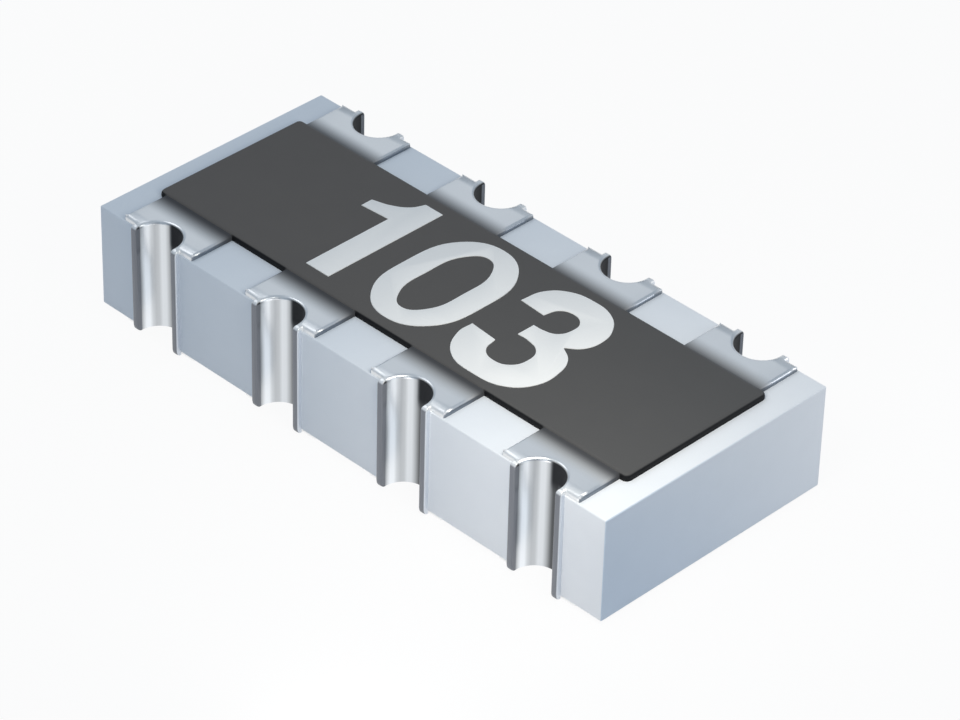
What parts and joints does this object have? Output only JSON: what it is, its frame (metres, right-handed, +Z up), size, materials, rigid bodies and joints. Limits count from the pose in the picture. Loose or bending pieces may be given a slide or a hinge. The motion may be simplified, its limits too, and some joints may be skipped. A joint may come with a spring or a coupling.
{
  "type": "resistor network",
  "caption": "Thick-film resistor network: a ceramic chip with concave plated terminals along both long sides and a dark resin overcoat.",
  "frame": {"origin": "middle of the footprint, on the plane of the solder lands' undersides", "axes": "+X along the chip, +Y across it, +Z up out of the overcoat"},
  "size_m": [0.005, 0.0022, 0.0009],
  "materials": {
    "alumina": "fired, fine-grained, satin",
    "overcoat_resin": "printed dark resin, satin",
    "undercoat_glass": "fired glass, thin",
    "resistor_film": "fired ruthenium oxide film",
    "fired_silver": "fired thick-film silver, matt",
    "nickel_plate": "plated nickel",
    "tin_plate": "bright plated tin"
  },
  "bodies": {
    "root": {"bottom_electrode_1": "fired_silver", "bottom_electrode_2": "fired_silver", "bottom_electrode_3": "fired_silver", "bottom_electrode_4": "fired_silver", "bottom_electrode_5": "fired_silver", "bottom_electrode_6": "fired_silver", "bottom_electrode_7": "fired_silver", "bottom_electrode_8": "fired_silver", "ceramic_substrate": "alumina", "edge_conductor_1": "fired_silver", "edge_conductor_2": "fired_silver", "edge_conductor_3": "fired_silver", "edge_conductor_4": "fired_silver", "edge_conductor_5": "fired_silver", "edge_conductor_6": "fired_silver", "edge_conductor_7": "fired_silver", "edge_conductor_8": "fired_silver", "glass_undercoat_1": "undercoat_glass", "glass_undercoat_2": "undercoat_glass", "glass_undercoat_3": "undercoat_glass", "glass_undercoat_4": "undercoat_glass", "nickel_barrier_1": "nickel_plate", "nickel_barrier_2": "nickel_plate", "nickel_barrier_3": "nickel_plate", "nickel_barrier_4": "nickel_plate", "nickel_barrier_5": "nickel_plate", "nickel_barrier_6": "nickel_plate", "nickel_barrier_7": "nickel_plate", "nickel_barrier_8": "nickel_plate", "protective_overcoat": "overcoat_resin", "resistor_film_1": "resistor_film", "resistor_film_2": "resistor_film", "resistor_film_3": "resistor_film", "resistor_film_4": "resistor_film", "tin_termination_1": "tin_plate", "tin_termination_2": "tin_plate", "tin_termination_3": "tin_plate", "tin_termination_4": "tin_plate", "tin_termination_5": "tin_plate", "tin_termination_6": "tin_plate", "tin_termination_7": "tin_plate", "tin_termination_8": "tin_plate", "top_electrode_1": "fired_silver", "top_electrode_2": "fired_silver", "top_electrode_3": "fired_silver", "top_electrode_4": "fired_silver", "top_electrode_5": "fired_silver", "top_electrode_6": "fired_silver", "top_electrode_7": "fired_silver", "top_electrode_8": "fired_silver"}
  },
  "joints": []
}
